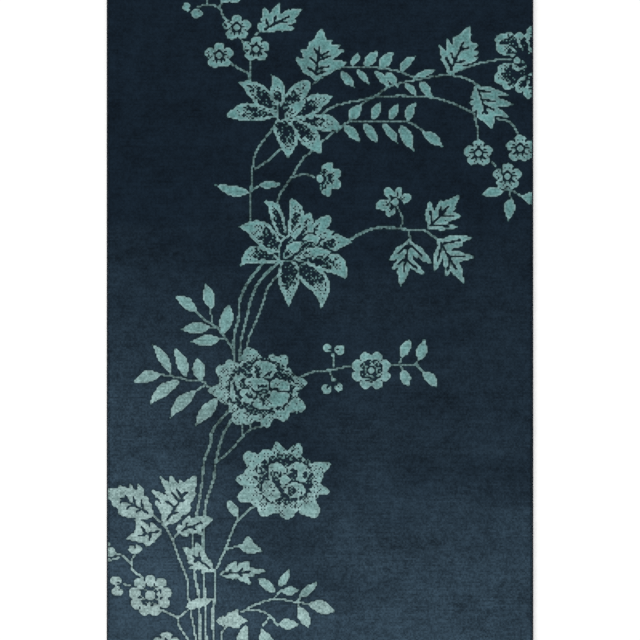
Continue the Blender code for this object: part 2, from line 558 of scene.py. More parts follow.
LEAVES = (
    # base, tip, width, bend
    ((64, 508), (78, 536), 15, 0),
    ((88, 508), (117, 539), 19, 0),
    ((121, 502), (148, 537), 21, 2),
    ((160, 497), (192, 527), 17, 4),
    ((190, 486), (231, 500), 12, 0),
    ((41, 497), (70, 463), 17, 0),
    ((74, 500), (100, 469), 13, 1),
    ((109, 498), (138, 465), 14, 2),
    ((130, 496), (157, 463), 14, 2),
    ((168, 474), (195, 444), 13, 2),
    ((199, 477), (224, 438), 17, 2),
    ((58, 400), (84, 433), 21, 0),
    ((104, 401), (122, 438), 18, 0),
    ((139, 401), (158, 434), 16, 0),
    ((175, 399), (192, 436), 17, 3),
    ((49, 390), (82, 353), 18, 1),
    ((87, 393), (117, 350), 18, 1),
    ((126, 393), (156, 352), 17, 1),
    ((160, 389), (188, 336), 22, 1),
    ((206, 375), (247, 345), 20, 2),
    ((366, 257), (322, 250), 20, -2),
    ((382, 243), (376, 198), 21, -1),
    ((404, 247), (456, 236), 24, 0),
    ((-141, 254), (-210, 270), 20, 3),
    ((-121, 269), (-78, 271), 17, 0),
    ((-246, 17), (-291, 49), 20, -2),
    ((-218, 23), (-230, 73), 22, -2),
    ((-194, -27), (-182, 36), 25, -2),
    ((-221, -14), (-279, -20), 22, -1),
    ((-201, -38), (-259, -43), 20, 1),
    ((-300, -105), (-336, -47), 20, -4),
    ((-268, -114), (-294, -52), 21, -4),
    ((-237, -121), (-246, -73), 23, 1),
    ((-318, -109), (-376, -128), 22, -5),
    ((-280, -121), (-341, -171), 22, -6),
    ((-249, -143), (-301, -198), 24, -5),
    ((-204, -157), (-250, -213), 24, -2),
    ((-190, -152), (-224, -139), 14, 0),
    ((164, -74), (180, -37), 20, 1),
    ((199, -80), (209, -37), 21, -1),
    ((165, -100), (177, -135), 20, 0),
    ((206, -105), (236, -136), 19, 2),
    ((-268, -573), (-210, -557), 18, 0),
    ((-164, -393), (-186, -359), 18, -1),
    ((-91, -543), (-126, -513), 18, 0),
    ((-82, -533), (-62, -499), 16, -1),
    ((-78, -542), (-40, -540), 16, 0),
    ((-42, -554), (-3, -520), 16, -1),
    ((-22, -567), (33, -586), 24, 2),
    ((-44, -573), (-22, -617), 22, 2),
    ((-82, -606), (-41, -609), 19, 0),
    ((-162, -662), (-146, -606), 22, 0),
    ((-100, -674), (-117, -614), 28, -1),
)

LOBED_LEAVES = (
    # base, tip, width, how far the side veins reach, and the lobes: tip x, y, share up the midrib, width
    ((-117, 577), (-36, 621), 30, 0.42, (
        (-124, 596, 0.04, 14), (-111, 626, 0.16, 21), (-82, 633, 0.30, 23), (-45, 597, 0.42, 16),
        (-49, 582, 0.24, 15), (-84, 579, 0.10, 10),
    )),
    ((-9, 479), (3, 581), 52, 0.42, (
        (-48, 524, 0.10, 24), (-37, 541, 0.30, 24), (-23, 558, 0.50, 18), (42, 551, 0.45, 20),
        (50, 540, 0.38, 16), (54, 515, 0.22, 24), (34, 503, 0.12, 18), (26, 560, 0.62, 14),
    )),
    ((258, 490), (300, 587), 44, 0.42, (
        (238, 552, 0.10, 18), (254, 563, 0.25, 18), (268, 568, 0.40, 14), (319, 551, 0.50, 16),
        (324, 536, 0.36, 15), (318, 524, 0.24, 18), (288, 510, 0.10, 10),
    )),
    ((313, 469), (344, 382), 42, 0.40, (
        (378, 449, 0.10, 16), (388, 430, 0.32, 19), (379, 405, 0.45, 18), (296, 433, 0.36, 15),
        (314, 404, 0.56, 16), (306, 446, 0.10, 12),
    )),
    ((215, 182), (279, 250), 30, 0.60, (
        (219, 237, 0.10, 20), (242, 240, 0.38, 19), (283, 207, 0.40, 22), (280, 185, 0.10, 16),
        (262, 194, 0.12, 12),
    )),
    ((180, 163), (160, 64), 26, 0.55, (
        (138, 118, 0.12, 19), (144, 102, 0.40, 17), (226, 111, 0.12, 20), (209, 90, 0.42, 16),
        (196, 96, 0.46, 12),
    )),
    ((236, 163), (290, 71), 26, 0.60, (
        (305, 165, 0.08, 19), (310, 126, 0.40, 19), (229, 99, 0.14, 20), (252, 87, 0.44, 17),
        (288, 150, 0.16, 14),
    )),
    ((-334, -391), (-430, -338), 54, 0.38, (
        (-402, -329, 0.50, 20), (-380, -327, 0.36, 20), (-363, -326, 0.20, 20), (-406, -390, 0.42, 20),
        (-384, -392, 0.24, 18), (-418, -368, 0.56, 18), (-347, -352, 0.10, 14),
    )),
    ((-312, -409), (-246, -310), 48, 0.36, (
        (-320, -312, 0.46, 18), (-302, -309, 0.54, 19), (-339, -338, 0.34, 18), (-255, -339, 0.62, 18),
        (-254, -356, 0.46, 18), (-256, -380, 0.22, 18), (-331, -360, 0.18, 15), (-282, -318, 0.68, 15),
    )),
    ((-316, -421), (-386, -437), 32, 0.45, (
        (-347, -454, 0.30, 23), (-367, -397, 0.44, 24), (-340, -404, 0.16, 15),
    )),
    ((-284, -424), (-213, -395), 29, 0.40, (
        (-260, -389, 0.20, 18), (-281, -406, 0.05, 12), (-233, -428, 0.38, 17), (-262, -431, 0.14, 14),
    )),
    ((-213, -501), (-274, -455), 32, 0.40, (
        (-247, -442, 0.42, 22), (-236, -462, 0.36, 15), (-267, -484, 0.44, 17), (-262, -496, 0.26, 14),
    )),
    ((-203, -508), (-107, -501), 22, 0.30, (
        (-167, -483, 0.20, 19), (-141, -480, 0.42, 21), (-137, -528, 0.40, 18), (-158, -516, 0.22, 14),
    )),
    ((-208, -602), (-140, -600), 22, 0, (
        (-162, -578, 0.32, 18), (-161, -613, 0.36, 13),
    )),
    ((-160, -452), (-115, -461), 20, 0, (
        (-142, -432, 0.35, 21),
    )),
)

LILIES = (
    # base, tip, width, how far the middle line swings out and how late, where the belly is, how sharp the
    # point is, how far up the shading reaches; from the back petal to the front one
    (
        ((-84, 418), (-99, 491), 29, -9, 7, 0.50, 1.0, 0.62),
        ((-82, 420), (-21, 477), 34, 0, 2, 0.60, 0.55, 0.84),
        ((-86, 415), (-165, 474), 39, -9, 7, 0.45, 1.0, 0.90),
        ((-86, 411), (-189, 407), 37, -7, 3, 0.55, 1.0, 0.78),
        ((-56, 403), (27, 446), 36, 6, 6, 0.52, 1.0, 0.80),
        ((-58, 402), (42, 386), 33, 3, 4, 0.66, 0.85, 0.82),
        ((-56, 400), (1, 331), 39, 5, 5, 0.52, 0.9, 0.78),
        ((-82, 400), (-64, 321), 45, 9, 2, 0.42, 1.1, 0.80),
    ),
    (
        ((-34, 166), (-19, 216), 22, 0, 2, 0.60, 0.9, 0.80),
        ((-30, 162), (20, 206), 26, 0, 2, 0.66, 0.5, 0.66),
        ((-8, 166), (28, 178), 15, 0, 2, 0.50, 1.0, 0.50),
        ((-62, 170), (-57, 243), 30, -12, 3, 0.60, 0.75, 0.90),
        ((-72, 165), (-117, 238), 28, -13, 8, 0.50, 1.0, 0.92),
        ((-80, 142), (-165, 184), 46, -14, 5, 0.44, 1.0, 0.66),
        ((-82, 122), (-160, 106), 36, -19, 4, 0.52, 0.9, 0.78),
        ((-12, 139), (64, 154), 31, 8, 6, 0.55, 1.0, 0.72),
        ((-26, 120), (52, 79), 40, 19, 5, 0.55, 0.75, 0.76),
        ((-50, 116), (1, 22), 46, 21, 4, 0.42, 0.8, 0.84),
        ((-62, 120), (-63, 26), 45, 0, 2, 0.36, 1.1, 0.76),
    ),
)
LILY_HEARTS = (
    # the small petals in the lilies' middles: base, tip, width, swing, and a hollow as in the peonies
    ((-72, 400), (-30, 439), 20, 0, None),
    ((-77, 140), (-33, 184), 15, 0, None),
    ((-42, 142), (-1, 163), 28, 4, (-26, 149, 24, 14, 20, 0.7)),
    ((-74, 121), (-37, 157), 21, 2, (-63, 130, 20, 16, 35, 0.75)),
    ((-58, 117), (22, 135), 17, 9, (-35, 131, 27, 10, 20, 0.6)),
)
LILY_SLITS = (
    # dark gaps between them: width in knots, points
    (3.0, ((-80, 420), (-78, 410), (-75, 403))),
    (1.6, ((-74, 144), (-67, 155), (-59, 165))),
    (1.6, ((-47, 159), (-40, 168), (-33, 177))),
)
LILY_VEINS = (
    ((-84, 440), (-86, 425), (-86, 400)),
    ((-125, 423), (-105, 417), (-86, 411)),
    ((-113, 404), (-86, 406)),
    ((-84, 397), (-63, 400), (-44, 402), (-24, 406)),
    ((-73, 162), (-60, 170), (-50, 176), (-37, 185)),
    ((-76, 160), (-82, 140), (-82, 116)),
    ((-82, 117), (-62, 118), (-50, 114)),
)

PEONIES = (
    # centre, body (its middle, radius, height over width), dark ring (its middle, width, height), outer
    # petals, cupped petals. An outer petal is (tip x, tip y, half its angle in degrees, ruffles, roundness),
    # and a cupped one (x, y, width, height, turn in degrees, its hollows), from back to front. A hollow is
    # (x, y, width, height, turn, how dark).
    (
        (-118, -136),
        ((-118, -137), 76, 0.80),
        ((-119, -134), 122, 102),
        (
            (-92, -69, 20, 1, 2.5),
            (-67, -71, 18, 1, 2.5),
            (-57, -99, 18, 1, 1.2),
            (-145, -55, 32, 2, 2.0),
            (-207, -96, 30, 3, 2.5),
            (-27, -124, 26, 2, 1.8),
            (-224, -141, 26, 1, 1.0),
            (-206, -154, 30, 2, 2.5),
            (-30, -179, 26, 2, 2.0),
            (-66, -199, 26, 2, 2.5),
            (-172, -206, 36, 3, 2.5),
            (-106, -214, 34, 3, 2.0),
        ),
        (
            (-164, -134, 32, 58, -14, ((-156, -126, 9, 16, 15, 0.7),)),
            (-113, -101, 48, 38, 0, ((-128, -103, 17, 28, 0, 0.6), (-97, -111, 20, 18, 10, 0.75))),
            (-125, -128, 56, 24, -6, ((-140, -127, 10, 10, 0, 0.5), (-112, -134, 28, 10, 0, 0.5))),
            (-80, -133, 40, 29, -20, ((-94, -140, 17, 11, 0, 0.75), (-84, -128, 10, 8, 0, 0.25))),
            (-147, -152, 38, 26, -10, ((-141, -151, 17, 10, -10, 0.6),)),
            (-98, -160, 72, 33, 14, ((-114, -153, 28, 10, 8, 0.75), (-110, -164, 22, 10, 0, 0.4))),
        ),
    ),
    (
        (-76, -322),
        ((-76, -326), 80, 0.76),
        ((-70, -318), 106, 94),
        (
            (-116, -260, 26, 1, 2.5),
            (-86, -243, 38, 1, 1.0),
            (-40, -245, 36, 1, 1.0),
            (-152, -268, 26, 2, 2.0),
            (22, -287, 18, 1, 1.4),
            (6, -312, 22, 1, 2.5),
            (-168, -319, 26, 2, 1.6),
            (-164, -358, 24, 2, 1.8),
            (20, -344, 22, 2, 1.2),
            (-4, -391, 26, 2, 2.2),
            (-117, -391, 30, 2, 2.2),
            (-62, -397, 36, 2, 2.5),
        ),
        (
            (-44, -305, 43, 42, 0, ((-54, -311, 18, 30, 0, 0.78), (-28, -313, 12, 26, 0, 0.78))),
            (-86, -303, 36, 36, 0, ((-87, -310, 25, 16, 0, 0.72),)),
            (-97, -340, 35, 44, 25, ((-100, -338, 18, 26, 20, 0.25),)),
            (-70, -325, 19, 34, 15, ()),
            (-50, -340, 42, 31, 0, ((-60, -342, 23, 20, 0, 0.72), (-40, -341, 10, 20, 0, 0.2))),
        ),
    ),
)

PEONY_SLITS = (
    # width in knots, points
    (1.7, ((-93, -319), (-85, -331), (-75, -346))),
    (1.5, ((-30, -330), (-25, -340), (-30, -350))),
    (1.5, ((-172, -126), (-168, -140), (-158, -156))),
)

BLOSSOMS = (
    # x, y, radius, the first petal's direction in degrees, which petal is dotted, how far out its rays reach
    (-166, 584, 25.5, 90, 1, 0.58),
    (-128, 541, 25, 90, 1, 0.58),
    (-202, 528, 26, 90, 1, 0.58),
    (-178, 657, 25.5, 90, 1, 0.58),
    (373, 287, 26, 90, 1, 0.68),
    (317, 333, 26.5, 90, None, 0.7),
    (399, 343, 26.5, 90, None, 0.7),
    (-306, -648, 26, 90, None, 0.6),
    (-436, -463, 24, 72, None, 0.6),
)

ROSETTES = (
    # x, y, radius, petals, the first petal's direction in degrees, the eye's radius
    (104, -100, 38, 8, 22.5, EYE),
    (-340, -550, 41, 9, 90, 9.4),
)

SIDE_FLOWERS = (
    # heart, its radius, the petals' pale rim, how dark they are inside, and the petals from back to front:
    # where it opens from, its tip, half its angle in degrees, ruffles, how far up its shading reaches
    ((0, 282), 7, 3.0, 0.6, tuple(
        ((0, 282), tip, 30, 2, 0.75) for tip in ((22, 314), (42, 296), (42, 268), (18, 248))
    )),
    ((149, 236), 7, 3.0, 0.6, (
        ((149, 236), (112, 226), 32, 2, 0.72),
        ((149, 236), (132, 264), 32, 2, 0.72),
        ((149, 236), (160, 264), 28, 2, 0.72),
        ((149, 236), (182, 246), 32, 2, 0.72),
        ((149, 236), (136, 208), 34, 2, 0.72),
    )),
    ((394, 518), 7, 5.4, 0.93, (
        ((430, 520), (426, 588), 30, 2, 0.92),
        ((420, 522), (392, 574), 30, 2, 0.92),
        ((410, 528), (352, 566), 38, 3, 0.92),
        ((404, 526), (360, 546), 24, 2, 0.90),
        ((440, 510), (414, 443), 32, 3, 0.92),
        ((420, 490), (392, 456), 34, 2, 0.92),
        ((418, 500), (349, 480), 40, 3, 0.92),
        ((420, 512), (382, 508), 34, 2, 0.85),
    )),
)

BUDS = (
    # x, y, width, height, notch
    (-266, 626, 17, 18, (-257, 622)),
    (-246, 613, 22, 17, (-238, 620)),
    (15, -56, 18, 18, (22, -60)),
    (39, -59, 21, 19, (32, -60)),
    (13, -138, 18, 20, (18, -130)),
    (38, -135, 17, 18, (33, -130)),
    (26, -71, 9, 9, None),
    (26, -120, 9, 9, None),
    (-369, -458, 28, 18, (-369, -448)),
    (-408, -522, 22, 17, (-400, -526)),
    (-404, -542, 22, 19, (-398, -536)),
)


def draw_lilies(chart):
    for petals in LILIES:
        for petal in petals:
            lily_petal(chart, *petal)
    for petal in LILY_HEARTS:
        heart_petal(chart, *petal)
    for width, points in LILY_SLITS:
        chart.cut(chart.line(points, width))
    for points in LILY_VEINS:
        chart.lay(chart.line(points))


THROAT = 0.36  # how far up a side flower's petals are dark from edge to edge
THROAT_FADING = 0.3


def draw_side_flower(chart, heart, heart_radius, rim, darkest, petals):
    for base, tip, spread, ruffles, reach in petals:
        depth, share = fan_petal(chart, base, tip, spread, ruffles)
        chart.lay(depth > 0)
        inner = (depth > rim) | ((depth > 0) & (share < THROAT))
        chart.shade(inner, np.clip((reach - share) / THROAT_FADING, 0, darkest))
    chart.cut(disc(chart, heart, heart_radius + KNOT_WIDTH))
    chart.lay(disc(chart, heart, heart_radius))


def draw_small_flowers(chart):
    for x, y, *shape in BLOSSOMS:
        blossom(chart, (x, y), *shape)
    for x, y, *shape in ROSETTES:
        rosette(chart, (x, y), *shape)
    for flower in SIDE_FLOWERS:
        draw_side_flower(chart, *flower)
    for x, y, *shape in BUDS:
        bud(chart, (x, y), *shape)


def draw_spray(chart):
    for width, lines in STEMS.items():
        for points in lines:
            chart.lay(chart.line(points, width), stem=True)
    for base, tip, width, bend in LEAVES:
        leaf(chart, base, tip, width, bend)
    for leaf_row in LOBED_LEAVES:
        lobed_leaf(chart, *leaf_row)
    draw_lilies(chart)
    for flower in PEONIES:
        peony(chart, *flower)
    for width, points in PEONY_SLITS:
        chart.cut(chart.line(points, width))
    draw_small_flowers(chart)


# ----------------------------------------------------------------------------------------------------------
# Nodes, for materials and for Geometry Nodes


class Value:
    """An output socket. Arithmetic on it adds Math nodes."""

    def __init__(self, nodes, socket):
        self.nodes = nodes
        self.socket = socket

    def math(self, operation, *others):
        return self.nodes.node("ShaderNodeMath", {"operation": operation}, dict(enumerate((self, *others))))

    def __add__(self, other):
        return self.math("ADD", other)

    def __sub__(self, other):
        return self.math("SUBTRACT", other)

    def __mul__(self, other):
        return self.math("MULTIPLY", other)

    def __truediv__(self, other):
        return self.math("DIVIDE", other)

    def __rsub__(self, other):
        return self.nodes.node("ShaderNodeMath", {"operation": "SUBTRACT"}, {0: other, 1: self})

    __radd__ = __add__
    __rmul__ = __mul__

    def clamped(self):
        return self.nodes.node("ShaderNodeClamp", {}, {"Value": self})

    def swing(self, amount):
        """A number from 0 to 1 as a change up or down, amount in all."""
        return (self - 0.5) * amount


class Nodes:
    """Builds one node tree."""

    def __init__(self, tree):
        self.tree = tree

    def node(self, kind, settings=None, sockets=None, output=0):
        """A new node's output: its settings are set first, then the values or links of its sockets."""
        made = self.tree.nodes.new(kind)
        for name, value in (settings or {}).items():
            if name == "stops":
                self.set_stops(made.color_ramp, value)
            else:
                setattr(made, name, value)
        for key, value in (sockets or {}).items():
            if isinstance(value, Value):
                self.tree.links.new(value.socket, made.inputs[key])
            else:
                made.inputs[key].default_value = value
        return Value(self, made.outputs[output])

    @staticmethod
    def set_stops(ramp, stops):
        """Stops are (position, grey)."""
        while len(ramp.elements) < len(stops):
            ramp.elements.new(1.0)
        for element, (position, shade) in zip(ramp.elements, stops):
            element.position = position
            element.color = (shade, shade, shade, 1.0)

    def mix(self, factor, first, second, blend="MIX"):
        """A colour between two colours. The node has a set of sockets for every kind of value."""
        settings = {"data_type": "RGBA", "blend_type": blend, "clamp_factor": True}
        first, second = (c if isinstance(c, Value) else (*c, 1.0) for c in (first, second))
        return self.node("ShaderNodeMix", settings, {0: factor, 6: first, 7: second}, output=2)

    def grey(self, light):
        """The same number as red, green and blue."""
        return self.node("ShaderNodeCombineColor", {}, {0: light, 1: light, 2: light})

    def place(self):
        """Metres in the frame of the CAD, since every finished piece lies at the origin."""
        return self.node("ShaderNodeTexCoord", output="Object")

    def knot_field(self, name):
        return self.node("ShaderNodeAttribute", {"attribute_name": name}, output="Fac")

    def axis(self, vector, number):
        return self.node("ShaderNodeSeparateXYZ", {}, {"Vector": vector}, output=number)

    def vector(self, x, y, z):
        return self.node("ShaderNodeCombineXYZ", {}, {0: x, 1: y, 2: z})

    def noise(self, place, scale, detail=2.0, rough=0.5, stretch=None):
        """Noise from 0 to 1. stretch makes it finer (over 1) or coarser (under 1) along each axis."""
        if stretch:
            place = self.node("ShaderNodeMapping", {}, {"Vector": place, "Scale": stretch})
        sockets = {"Vector": place, "Scale": scale, "Detail": detail, "Roughness": rough}
        return self.node("ShaderNodeTexNoise", {}, sockets)

    def threads(self, place, direction, scale):
        sockets = {"Vector": place, "Scale": scale}
        return self.node("ShaderNodeTexWave", {"bands_direction": direction}, sockets)

    def smooth_step(self, value, start, end):
        """0 where the value is start, rising softly to 1 where it is end."""
        sockets = {"Value": value, "From Min": start, "From Max": end}
        return self.node("ShaderNodeMapRange", {"interpolation_type": "SMOOTHSTEP"}, sockets)


def new_material(name):
    """An empty material: (the material, its nodes, its Principled shader)."""
    material = bpy.data.materials.new(name)
    material.use_nodes = True
    return material, Nodes(material.node_tree), material.node_tree.nodes["Principled BSDF"]


def finish_shader(nodes, shader, links, constants):
    """Links what varies over the surface, and sets what doesn't on the shader's own sockets."""
    for name, value in links.items():
        nodes.tree.links.new(value.socket, shader.inputs[name])
    for name, value in constants.items():
        shader.inputs[name].default_value = value


def finish_yarn(nodes, shader, colour, light, fibres, height, surface):
    """A colour times its light, rougher where the fibres are pale, with a fine relief."""
    least, more = surface["rough"]
    strength, distance = surface["relief"]
    relief = {"Strength": strength, "Distance": distance, "Height": height}
    links = {
        "Base Color": nodes.mix(1.0, colour, nodes.grey(light), "MULTIPLY"),
        "Roughness": least + fibres * more,
        "Normal": nodes.node("ShaderNodeBump", {}, relief),
    }
    finish_shader(nodes, shader, links, surface["shader"])


# ----------------------------------------------------------------------------------------------------------
# Yarns

NAVY_PILE = {
    "deep": (0.0054, 0.0118, 0.0203),
    # the colour where painted light and sheen are strongest, at the foot and the left
    "sheen_lit": (0.0312, 0.0562, 0.0806),
    "beside": (0.0056, 0.0200, 0.0218),  # the colour next to the other wool
    "beside_share": 0.55,  # and how far the knots there take it
    "unevenness": 0.6,  # how much the knots' own shades lighten and darken them
}
AQUA_PILE = {
    "deep": (0.1040, 0.2380, 0.2360),
    # the colour where painted light and sheen are strongest, at the foot and the left
    "sheen_lit": (0.3020, 0.4160, 0.4060),
    "beside": (0.2750, 0.3740, 0.3840),
    "beside_share": 0.65,
    "unevenness": 0.75,
}
# Painted light and sheen: the pile's colours grow lighter towards the foot, as light falls across the pile.
PAINTED_SHEEN_STOPS = (
    # share of the way from the foot to the head, how much painted light and sheen lighten the colours there
    (0.00, 0.84),
    (0.07, 0.72),
    (0.19, 0.47),
    (0.26, 0.31),
    (0.32, 0.21),
    (0.44, 0.165),
    (0.56, 0.10),
    (0.62, 0.03),
    (0.68, 0.0),
)
# soft bands and clouds of the painted sheen, partly uneven dye lots and partly painted sheen of the pile's
# lay
DYE_AND_SHEEN_BANDS = {"scale": 1.4, "detail": 3.0, "stretch": (0.9, 9.0, 1.0)}
DYE_AND_SHEEN_CLOUDS = {"scale": 6.5, "detail": 3.0}
BANDS_SWING = 0.34  # how far bands and clouds move the painted sheen, as a share of the rug's length
CLOUDS_SWING = 0.3
LEFT_SHEEN = (0.45, -0.05, -0.42)  # how much more painted light the left side has, and from which x to which
INNER_SHEEN_LOSS = (0.15, -0.08, 0.16)  # how much less painted light a strip near the middle has, the strip's x, half its width
SIDEWAYS = (0.25, -0.35)  # from which y to which these two come in
FIBRES = {"scale": 900.0, "detail": 2.0, "rough": 0.6}
FIBRES_LIGHT = 0.5
WOOL_NOISES = (
    # unevenness of the pile: a noise, and how much it lightens and darkens the wool
    ({"scale": 260.0, "stretch": (0.06, 1.0, 1.0)}, 0.2),
    ({"scale": 60.0, "detail": 3.0}, 0.75),
    ({"scale": 17.0, "detail": 4.0, "rough": 0.6}, 0.75),
    ({"scale": 5.0, "stretch": (0.6, 2.2, 1.0)}, 0.6),
)
SHADE_SHEEN = 0.5  # how much more painted sheen pale knots and pale fibres take
FIBRES_SHEEN = 1.2
TUFTING = {"scale": 420.0, "detail": 1.0}
FIBRES_HEIGHT = 0.5  # how high the fibres are beside it
PILE_SURFACE = {
    "rough": (0.82, 0.16),  # the least, and how much its fibres add
    "relief": (0.6, 0.0012),  # its strength, and its height in metres
    "shader": {
        "Specular IOR Level": 0.05,
        "Sheen Weight": 0.04,
        "Sheen Roughness": 0.5,
        "Sheen Tint": (0.70, 0.85, 1.0, 1.0),
    },
}
EDGE_WOOL = {
    "colour": (0.0074, 0.0138, 0.0218),
    "light": (0.72, 0.6),  # the least, and how much its fibres add
    "uneven": (40.0, 0.4),  # the scale of a noise, and how much it lightens and darkens the yarn
    "rough": (0.8, 0.15),
    "relief": (0.5, 0.0006),
    "shader": {"Specular IOR Level": 0.15, "Sheen Weight": 0.1},
}
EDGE_FIBRES = {"scale": 900.0, "detail": 3.0}
EDGE_GRAIN = (1.0, 0.35, 1.0)  # these draw the fibres out along the rug
WEB_GRAIN = (1.0, 0.5, 1.0)
COTTON = {
    "colour": (0.42, 0.38, 0.31),
    # lighter on the threads' crowns; the gaps between them are painted in shade
    "light": (0.75, 0.35),
    "uneven": (90.0, 0.3),
    "rough": (0.85, 0.1),
    "relief": (0.4, 0.0005),
    "shader": {"Specular IOR Level": 0.2},
}
WARPS = 98.0  # wave scales that give a thread to each column and each row of knots
WEFTS = 101.0


def painted_sheen_amount(nodes, place):
    """How much painted light and sheen a place has: 0 at the head end and up to 1 at the foot, more on the
    left.

    Its soft bands are partly uneven dye lots and partly painted sheen.
    """
    x, y = nodes.axis(place, 0), nodes.axis(place, 1)
    along = y / PILE_LENGTH + 0.5
    along = along + nodes.noise(place, **DYE_AND_SHEEN_BANDS).swing(BANDS_SWING)
    along = along + nodes.noise(place, **DYE_AND_SHEEN_CLOUDS).swing(CLOUDS_SWING)
    ramped = nodes.node("ShaderNodeValToRGB", {"stops": PAINTED_SHEEN_STOPS}, {"Fac": along})
    left_amount, left_from, left_to = LEFT_SHEEN
    inner_amount, inner_x, inner_half = INNER_SHEEN_LOSS
    left = nodes.smooth_step(x, left_from, left_to)
    inner = nodes.smooth_step((x - inner_x).math("ABSOLUTE"), inner_half, 0.0)
    low = nodes.smooth_step(y, *SIDEWAYS)
    return (ramped + (left * left_amount - inner * inner_amount) * low).clamped()


def cut_wool(name, deep, sheen_lit, beside, beside_share, unevenness):
    """Cut wool pile, with painted light and sheen towards the foot and the left.

    Every knot has its own shade, and its fibres roughen the surface.
    """
    material, nodes, shader = new_material(name)
    place = nodes.place()
    shade, border = nodes.knot_field(SHADE), nodes.knot_field(BORDER)
    fibres = nodes.noise(place, **FIBRES)
    # painted light and sheen: the colour grows lighter towards the foot and the left, more on pale knots and
    # fibres
    sheen_share = painted_sheen_amount(nodes, place) * (1.0 + shade.swing(SHADE_SHEEN) + fibres.swing(FIBRES_SHEEN))
    tone = nodes.mix(sheen_share.clamped(), deep, sheen_lit)
    tone = nodes.mix((border * beside_share).clamped(), tone, beside)
    light = 1.0 + shade.swing(unevenness) + fibres.swing(FIBRES_LIGHT)
    for noise, amount in WOOL_NOISES:
        light = light + nodes.noise(place, **noise).swing(amount)
    height = fibres * FIBRES_HEIGHT + nodes.noise(place, **TUFTING)
    finish_yarn(nodes, shader, tone, light, fibres, height, PILE_SURFACE)
    return material


def finish_plain(nodes, shader, threads, yarn):
    """A yarn of one colour that is lighter, rougher and higher where its threads are, and a little uneven."""
    least, more = yarn["light"]
    scale, amount = yarn["uneven"]
    light = least + threads * more + nodes.noise(nodes.place(), scale).swing(amount)
    finish_yarn(nodes, shader, yarn["colour"], light, threads, threads, yarn)


def spun_yarn(name, grain):
    """Plied navy wool with fine fibres."""
    material, nodes, shader = new_material(name)
    finish_plain(nodes, shader, nodes.noise(nodes.place(), stretch=grain, **EDGE_FIBRES), EDGE_WOOL)
    return material


def woven_cotton(name):
    """Plain weave of fine cotton, with painted shade in the gaps between its threads."""
    material, nodes, shader = new_material(name)
    place = nodes.place()
    # painted shade between the threads, where the warp and weft waves are low
    threads = nodes.threads(place, "X", WARPS) * nodes.threads(place, "Y", WEFTS)
    finish_plain(nodes, shader, threads, COTTON)
    return material


# ----------------------------------------------------------------------------------------------------------
# The pile

FOUNDATION_THICKNESS = 0.003
WEB_LENGTH = 0.012
PILE_TOP = CLOTH_HIGH.z
COLUMNS = round((CLOTH_HIGH.x - CLOTH_LOW.x) / (KNOT_WIDTH * MM))
ROWS = round((CLOTH_HIGH.y - CLOTH_LOW.y - 2 * WEB_LENGTH) / (KNOT_LENGTH * MM))
PILE_WIDTH = COLUMNS * KNOT_WIDTH * MM
PILE_LENGTH = ROWS * KNOT_LENGTH * MM
SHADE = "shade"
BORDER = "border"
BAKED_UV = "OFBake"
PILE_SEED = 8
SHADES_SEED = 21
CLIPPING = 0.00016  # how unevenly the knots are clipped
SHIFTING = 0.00022
SWELL = 0.0004  # broad unevenness of the pile
SWELL_ACROSS = 9.1  # its waves, in radians a metre
SWELL_ALONG = 7.3
SWELL_START = 0.8
SWELL_BEND = (1.3, 4.7)  # how far they wander from side to side, and in how many radians a metre
CARVED = 0.0004  # the shears' groove where the two colours meet
ROUNDED_EDGE = 0.0008
EASING = 0.42  # how far the line between the colours is eased, and then spread again, corner by corner
PILE_WALL = (
    # outwards, height above the floor: the side of the pile, leaning out over the overcast edge
    (0.0009, PILE_TOP - 0.0018),
    (0.0012, PILE_TOP - 0.0042),
    (-0.0001, FOUNDATION_THICKNESS),
)
WALL_STRAY = (0.0003, 0.0002)  # how unevenly the wall stands out, and its rows lie
WALL_STRIPS = (0.955, 0.966, 0.977, 0.988)  # where the four sides lie in the map, beside the top
WALL_STRIP_WIDTH = 0.009
TOP_IN_MAP = 0.95
DYED_RUN = 8  # knots tied in a row with one length of yarn
SHADE_PARTS = (0.62, 0.13, 0.25)  # how much of a knot's shade is its own, its row's and its yarn's
BORDER_GAIN = 1.8
LONELY = (0.64, 0.25)  # the share of aqua round an aqua knot under which it sinks into painted shade, and how fast
SUNK_PAINTED_SHADE = 0.56  # how much darker painted shade makes the stems' knots and single knots, sunk in the navy pile round them
STEM_RIM_LOSS = 0.4  # how much of a petal's pale rim they lack
LONELY_RIM_LOSS = 0.8
STEM_SHADE_SPAN = (-520, -300)  # millimetres along the rug: where the stems' painted shade is least, and where it is full
# the share of the stems' painted shade left at the foot
STEM_SHADE_AT_FOOT = 0.35


def eased(aqua, places):
    """The knots' corners, with the steps in the line between the colours pulled out smooth."""
    padded = np.pad(aqua, 1, mode="edge")
    across = np.pad(padded[1:, 1:-1] != padded[:-1, 1:-1], ((0, 0), (1, 1)))  # a border to the left and right
    upright = np.pad(padded[1:-1, 1:] != padded[1:-1, :-1], ((1, 1), (0, 0)))  # a border below and above
    borders = (across[:, :-1], across[:, 1:], upright[:-1], upright[1:])
    on_line = (sum(border.astype(int) for border in borders) == 2)[..., None]
    for pull in (EASING, -EASING):
        around = np.pad(places, ((1, 1), (1, 1), (0, 0)), mode="edge")
        neighbours = (around[1:-1, :-2], around[1:-1, 2:], around[:-2, 1:-1], around[2:, 1:-1])
        mean = sum(border[..., None] * place for border, place in zip(borders, neighbours)) / 2
        places = np.where(on_line, places + pull * (mean - places), places)
    return places


